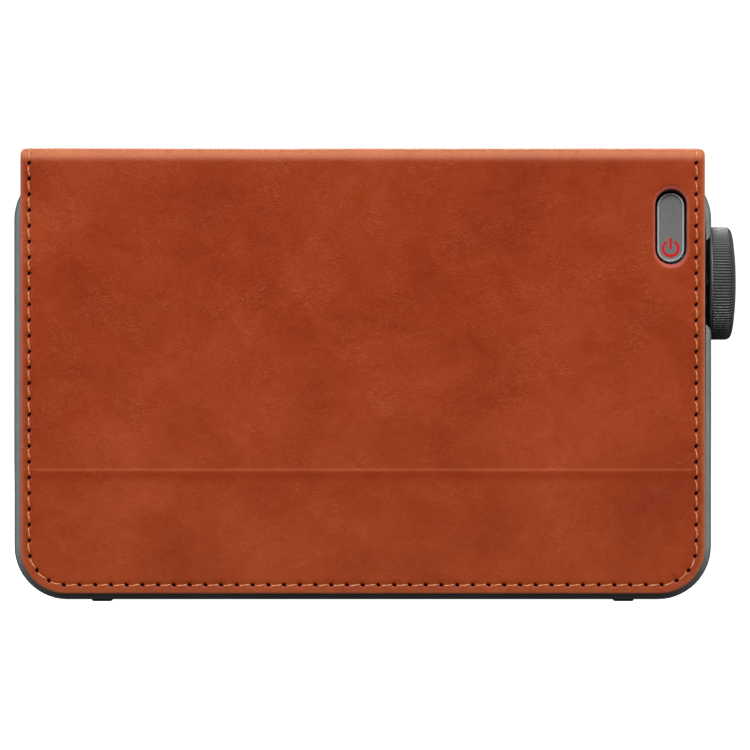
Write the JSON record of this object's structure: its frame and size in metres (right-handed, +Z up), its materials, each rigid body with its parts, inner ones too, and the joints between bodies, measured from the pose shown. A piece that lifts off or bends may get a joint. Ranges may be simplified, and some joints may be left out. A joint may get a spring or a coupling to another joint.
{
  "type": "leather portable radio",
  "caption": "Portable radio in a stitched leather wrap-over cover, with a ribbed side tuning knob, a keypad, a telescopic antenna and a battery bay.",
  "frame": {"origin": "centre of the footprint, on the surface that the feet stand on", "axes": "+X towards the tuning knob's side, +Y towards the back, +Z up; the front faces -Y"},
  "size_m": [0.1744, 0.032, 0.1091],
  "materials": {
    "leather": "waxed brown-orange leather, fine grain, stitched edges",
    "case_plastic": "satin grey moulded plastic",
    "dark_plastic": "matt near-black plastic",
    "button_plastic": "satin grey plastic with a printed red standby symbol",
    "key_plastic": "matt dark grey keys with pale digits",
    "window": "clear scratch-resistant window",
    "display": "grey-green liquid-crystal panel",
    "steel": "plain plated steel",
    "chrome": "polished plating",
    "ferrite": "pressed dark ferrite",
    "copper": "enamelled copper winding",
    "circuit_board": "green circuit board",
    "cone_paper": "black paper cone",
    "cell_wrap": "plain shrink-wrapped cells",
    "foot_rubber": "dark rubber pads"
  },
  "bodies": {
    "radio": {"cover_back_tab": "leather", "front_case": "case_plastic", "rear_case": "case_plastic", "speaker_grille": "dark_plastic", "power_switch": "dark_plastic", "headphone_socket": "dark_plastic", "power_socket": "dark_plastic", "display_window": "window", "display_module": "display", "speaker_frame": "steel", "tuning_encoder": "steel", "battery_contact_left": "steel", "battery_contact_right": "steel", "case_screw_lower_left": "steel", "case_screw_lower_right": "steel", "case_screw_upper_left": "steel", "case_screw_upper_right": "steel", "snap_stud_left": "steel", "snap_stud_right": "steel", "snap_cap_left": "chrome", "snap_cap_right": "chrome", "speaker_magnet": "ferrite", "ferrite_rod": "ferrite", "ferrite_coil": "copper", "main_board": "circuit_board", "speaker_cone": "cone_paper", "battery_cell_1": "cell_wrap", "battery_cell_2": "cell_wrap", "battery_cell_3": "cell_wrap", "battery_cell_4": "cell_wrap", "foot_left": "foot_rubber", "foot_right": "foot_rubber"},
    "power_button": {"power_button": "button_plastic"},
    "tuning": {"tuning_knob": "dark_plastic", "tuning_shaft": "steel"},
    "antenna_base": {"antenna_swivel": "chrome", "antenna_pin": "steel"},
    "antenna_rod": {"antenna_elbow": "chrome", "antenna_section_1": "chrome"},
    "antenna_rod_2": {"antenna_section_2": "chrome"},
    "antenna_rod_3": {"antenna_section_3": "chrome"},
    "antenna_rod_4": {"antenna_section_4": "chrome", "antenna_tip": "chrome"},
    "battery_door": {"battery_door": "case_plastic"},
    "cover_spine": {"cover_spine": "leather"},
    "cover_flap_upper": {"cover_flap_upper": "leather"},
    "cover_flap_lower": {"cover_flap_lower": "leather"},
    "key_1": {"key_1": "key_plastic"},
    "key_2": {"key_2": "key_plastic"},
    "key_3": {"key_3": "key_plastic"},
    "key_0": {"key_0": "key_plastic"},
    "key_4": {"key_4": "key_plastic"},
    "key_5": {"key_5": "key_plastic"},
    "key_6": {"key_6": "key_plastic"},
    "key_band": {"key_band": "key_plastic"},
    "key_7": {"key_7": "key_plastic"},
    "key_8": {"key_8": "key_plastic"},
    "key_9": {"key_9": "key_plastic"},
    "key_mode": {"key_mode": "key_plastic"}
  },
  "joints": [
    {"name": "spine_fold", "type": "hinge", "parent": "radio", "child": "cover_spine", "pos_m": [0, 0.0078, 0.1081], "axis": [-1, 0, 0], "range_deg": [0, 175]},
    {"name": "flap_fold", "type": "hinge", "parent": "cover_spine", "child": "cover_flap_upper", "pos_m": [0, -0.015, 0.1081], "axis": [-1, 0, 0], "range_deg": [0, 160]},
    {"name": "flap_crease", "type": "hinge", "parent": "cover_flap_upper", "child": "cover_flap_lower", "pos_m": [0, -0.015, 0.0316], "axis": [-1, 0, 0], "range_deg": [0, 80]},
    {"name": "tuning_turn", "type": "hinge", "parent": "radio", "child": "tuning", "pos_m": [0.0808, 0.0002, 0.0768], "axis": [1, 0, 0], "continuous": true},
    {"name": "power_press", "type": "slide", "parent": "radio", "child": "power_button", "axis": [0, 1, 0], "range_m": [0, 0.0007], "stiffness_N_per_m": 1500, "springref_m": -0.0003},
    {"name": "antenna_turn", "type": "hinge", "parent": "radio", "child": "antenna_base", "pos_m": [-0.0752, 0.013, 0.09], "axis": [0, 0, -1], "range_deg": [-180, 0]},
    {"name": "antenna_lift", "type": "hinge", "parent": "antenna_base", "child": "antenna_rod", "pos_m": [-0.0752, 0.013, 0.0938], "axis": [0, 1, 0], "range_deg": [-90, 0]},
    {"name": "antenna_pull_2", "type": "slide", "parent": "antenna_rod", "child": "antenna_rod_2", "axis": [-1, 0, 0], "range_m": [-0.115, 0]},
    {"name": "antenna_pull_3", "type": "slide", "parent": "antenna_rod_2", "child": "antenna_rod_3", "axis": [-1, 0, 0], "range_m": [-0.115, 0]},
    {"name": "antenna_pull_4", "type": "slide", "parent": "antenna_rod_3", "child": "antenna_rod_4", "axis": [-1, 0, 0], "range_m": [-0.115, 0]},
    {"name": "battery_door_lift", "type": "slide", "parent": "radio", "child": "battery_door", "axis": [0, 1, 0], "range_m": [0, 0.012]},
    {"name": "key_1_press", "type": "slide", "parent": "radio", "child": "key_1", "axis": [0, 1, 0], "range_m": [0, 0.0007], "stiffness_N_per_m": 1500, "springref_m": -0.0003},
    {"name": "key_2_press", "type": "slide", "parent": "radio", "child": "key_2", "axis": [0, 1, 0], "range_m": [0, 0.0007], "stiffness_N_per_m": 1500, "springref_m": -0.0003},
    {"name": "key_3_press", "type": "slide", "parent": "radio", "child": "key_3", "axis": [0, 1, 0], "range_m": [0, 0.0007], "stiffness_N_per_m": 1500, "springref_m": -0.0003},
    {"name": "key_0_press", "type": "slide", "parent": "radio", "child": "key_0", "axis": [0, 1, 0], "range_m": [0, 0.0007], "stiffness_N_per_m": 1500, "springref_m": -0.0003},
    {"name": "key_4_press", "type": "slide", "parent": "radio", "child": "key_4", "axis": [0, 1, 0], "range_m": [0, 0.0007], "stiffness_N_per_m": 1500, "springref_m": -0.0003},
    {"name": "key_5_press", "type": "slide", "parent": "radio", "child": "key_5", "axis": [0, 1, 0], "range_m": [0, 0.0007], "stiffness_N_per_m": 1500, "springref_m": -0.0003},
    {"name": "key_6_press", "type": "slide", "parent": "radio", "child": "key_6", "axis": [0, 1, 0], "range_m": [0, 0.0007], "stiffness_N_per_m": 1500, "springref_m": -0.0003},
    {"name": "key_band_press", "type": "slide", "parent": "radio", "child": "key_band", "axis": [0, 1, 0], "range_m": [0, 0.0007], "stiffness_N_per_m": 1500, "springref_m": -0.0003},
    {"name": "key_7_press", "type": "slide", "parent": "radio", "child": "key_7", "axis": [0, 1, 0], "range_m": [0, 0.0007], "stiffness_N_per_m": 1500, "springref_m": -0.0003},
    {"name": "key_8_press", "type": "slide", "parent": "radio", "child": "key_8", "axis": [0, 1, 0], "range_m": [0, 0.0007], "stiffness_N_per_m": 1500, "springref_m": -0.0003},
    {"name": "key_9_press", "type": "slide", "parent": "radio", "child": "key_9", "axis": [0, 1, 0], "range_m": [0, 0.0007], "stiffness_N_per_m": 1500, "springref_m": -0.0003},
    {"name": "key_mode_press", "type": "slide", "parent": "radio", "child": "key_mode", "axis": [0, 1, 0], "range_m": [0, 0.0007], "stiffness_N_per_m": 1500, "springref_m": -0.0003}
  ]
}
